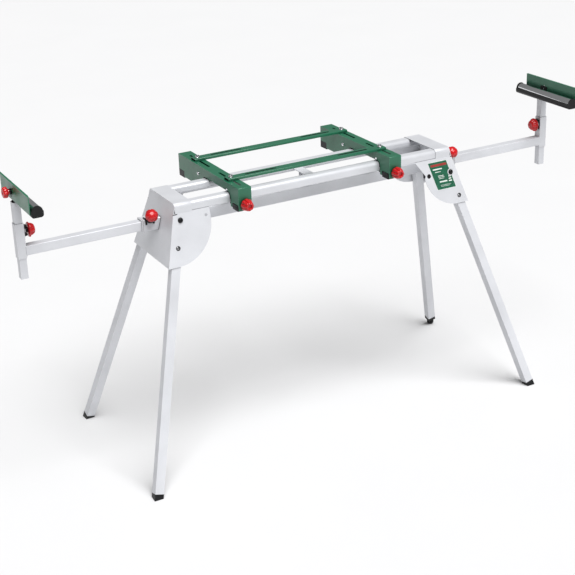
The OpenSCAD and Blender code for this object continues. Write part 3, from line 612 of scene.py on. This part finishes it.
def slot_shade_ring(name, middle, length, width):
    """Thin black ring round the wall of a slot along X, painted shade that makes the slot look dark, all in
    millimetres.
    """
    mesh = bmesh.new()
    half = (length - width) / 2
    rings = []
    for inset, height in SLOT_SHADE_SECTION:
        r = width / 2 - inset
        ring = []
        for k in range(SLOT_SHADE_AROUND):
            angle = 2 * math.pi * (k + 0.5) / SLOT_SHADE_AROUND
            end = math.copysign(half, math.cos(angle))
            spot = middle + Vector((end + r * math.cos(angle), r * math.sin(angle), height))
            ring.append(mesh.verts.new(spot * MM))
        rings.append(ring)
    for a, b in zip(rings, rings[1:] + rings[:1]):
        for k in range(SLOT_SHADE_AROUND):
            mesh.faces.new((a[k], a[(k + 1) % SLOT_SHADE_AROUND], b[(k + 1) % SLOT_SHADE_AROUND], b[k]))
    add_piece(name, mesh, IDENTITY, BLACK, "saw_mount")


for side in SIDES:
    low, high = box_of(f"bracket_{side}")
    for k, (y, z, r) in enumerate(BRACKET_SCREWS):
        for face, x, way in (("outer", low.x, -1), ("inner", high.x, 1)):
            where = turn_to((way, 0, 0), point(x, y, z))
            add_piece(f"pad_screw_{side}_{k}_{face}", turned(screw_head(r), 0, 24), where, ZINC, "saw_mount")

for end in ENDS:
    low, high = box_of(f"tool_rail_{end}")
    reach = (high.x - low.x) / 2 - TOOL_SLOT_FROM_END
    for side, sign in SIDES.items():
        middle = Vector(((low.x + high.x) / 2 + sign * reach, (low.y + high.y) / 2, high.z - 0.1))
        # black rings in the tool rails' slots: painted shade of the channel's inside
        slot_shade_ring(f"slot_painted_shade_{end}_{side}", middle, TOOL_SLOT_LENGTH, TOOL_SLOT_WIDTH)


# ---------------------------------------------------------------- data label

# a slanted film on the front right side plate with a pale edge, a band and plain printed bars;
# each bar is (u0, v0, u1, v1), as shares of the label's length and of its height from the top
LABEL_BAND = (0.10, 0.09, 0.93, 0.17)
LABEL_BARS = (
    (0.14, 0.25, 0.62, 0.29), (0.20, 0.36, 0.50, 0.38),
    (0.28, 0.50, 0.58, 0.52), (0.28, 0.55, 0.60, 0.565), (0.28, 0.60, 0.56, 0.615),
    (0.26, 0.70, 0.66, 0.745), (0.24, 0.84, 0.80, 0.85), (0.24, 0.88, 0.72, 0.89),
    (0.80, 0.56, 0.92, 0.60), (0.77, 0.64, 0.90, 0.68), (0.74, 0.72, 0.90, 0.76),
)
# the label's upper corner from the leg's pivot, and its size in the side plate's plane
LABEL_START, LABEL_TOP = 90, 45.5
LABEL_LENGTH, LABEL_HEIGHT, LABEL_SLANT = 79, 101, 27.5
LABEL_PLATE = plate_turn("right", "front")
WASHER = round_rows((0, 8.4), (0, 12.6), (0.8, 12.4), (0.8, 8.4))


def label_slab(name, area, low, high, material):
    """Flat slanted slab over an area of the label, from low to high in mm over the side plate."""
    u0, v0, u1, v1 = area
    mesh = bmesh.new()
    layers = []
    for rise in (low, high):
        layer = []
        for u, v in ((u0, v0), (u1, v0), (u1, v1), (u0, v1)):
            x = LABEL_START - LABEL_LENGTH * u - LABEL_SLANT * v
            layer.append(mesh.verts.new(point(x, -rise, LABEL_TOP - LABEL_HEIGHT * v)))
        layers.append(layer)
        mesh.faces.new(layer)
    for k in range(4):
        mesh.faces.new((layers[0][k], layers[0][(k + 1) % 4], layers[1][(k + 1) % 4], layers[1][k]))
    bmesh.ops.bevel(mesh, geom=mesh.edges[:], offset=0.08 * MM, segments=1, affect="EDGES", profile=0.5)
    return add_piece(name, mesh, LABEL_PLATE, material, "bed", 30)


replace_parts(label_slab("label_edge", (0, 0, 1, 1), 0, 0.35, PALE), "data_label")
label_slab("label_film", (0.02, 0.016, 0.98, 0.984), 0.2, 0.6, FILM)
label_slab("label_band", LABEL_BAND, 0.5, 0.68, STRIPE)
for k, bar in enumerate(LABEL_BARS):
    label_slab(f"label_bar_{k}", bar, 0.5, 0.68, PALE)
out_of_plate = LABEL_PLATE.to_3x3() @ Vector((0, -1, 0))
add_piece("label_washer", turned(WASHER), turn_to(out_of_plate, LABEL_PLATE.translation), SILVER, "bed")


# ---------------------------------------------------------------- floor, light and camera

VIEW_AZIMUTH = math.radians(-26.08)
VIEW_ELEVATION = math.radians(22.22)
VIEW_ROLL = math.radians(-2.71)
VIEW_TARGET = Vector((-0.083, 0.323, 0.450))
VIEW_DISTANCE = 4.765
VIEW_LENS = 80.77
VIEW_SENSOR = 36
VIEW_SHIFT = (0.075, -0.044)
FLOOR_SIZE = 60
KEY_TOWARD = Vector((-0.05, 0.48, -1.0))
KEY_STRENGTH = 4.1
KEY_ANGLE = math.radians(45)
SURROUND_STRENGTH = 0.22


def make_camera():
    """The camera at the reference angle."""
    away = Vector((math.sin(VIEW_AZIMUTH) * math.cos(VIEW_ELEVATION),
                   -math.cos(VIEW_AZIMUTH) * math.cos(VIEW_ELEVATION),
                   math.sin(VIEW_ELEVATION)))
    right = Vector((math.cos(VIEW_AZIMUTH), math.sin(VIEW_AZIMUTH), 0))
    up = away.cross(right)
    rolled_right = math.cos(VIEW_ROLL) * right + math.sin(VIEW_ROLL) * up
    rolled_up = away.cross(rolled_right)
    turn = Matrix((rolled_right, rolled_up, away)).transposed().to_4x4()
    data = bpy.data.cameras.new("camera")
    data.lens = VIEW_LENS
    data.sensor_width = VIEW_SENSOR
    data.shift_x, data.shift_y = VIEW_SHIFT
    camera = bpy.data.objects.new("camera", data)
    camera.matrix_world = Matrix.Translation(VIEW_TARGET + VIEW_DISTANCE * away) @ turn
    bpy.context.scene.collection.objects.link(camera)
    bpy.context.scene.camera = camera


def make_floor():
    """A large pale floor."""
    bpy.ops.mesh.primitive_plane_add(size=FLOOR_SIZE, location=(0, 0, 0))
    floor = bpy.context.object
    floor.name = "floor"
    material, tree, shader = new_material("floor", (0.73, 0.73, 0.735), 0.6)
    tone = two_colours(tree, noise(tree, scale=2, detail=3), (0.72, 0.72, 0.725), (0.74, 0.74, 0.745))
    tree.links.new(tone, shader.inputs["Base Color"])
    floor.data.materials.append(material)


def make_light():
    """One broad soft light from above, and a pale surround."""
    world = bpy.data.worlds.new("surround")
    world.use_nodes = True
    background = world.node_tree.nodes["Background"]
    background.inputs["Color"].default_value = (1, 1, 1, 1)
    background.inputs["Strength"].default_value = SURROUND_STRENGTH
    bpy.context.scene.world = world
    bpy.context.scene.view_settings.view_transform = "Standard"
    data = bpy.data.lights.new("key", "SUN")
    data.energy = KEY_STRENGTH
    data.angle = KEY_ANGLE
    light = bpy.data.objects.new("key", data)
    light.rotation_euler = KEY_TOWARD.to_track_quat("-Z", "Y").to_euler()
    bpy.context.scene.collection.objects.link(light)


make_camera()
make_floor()
make_light()
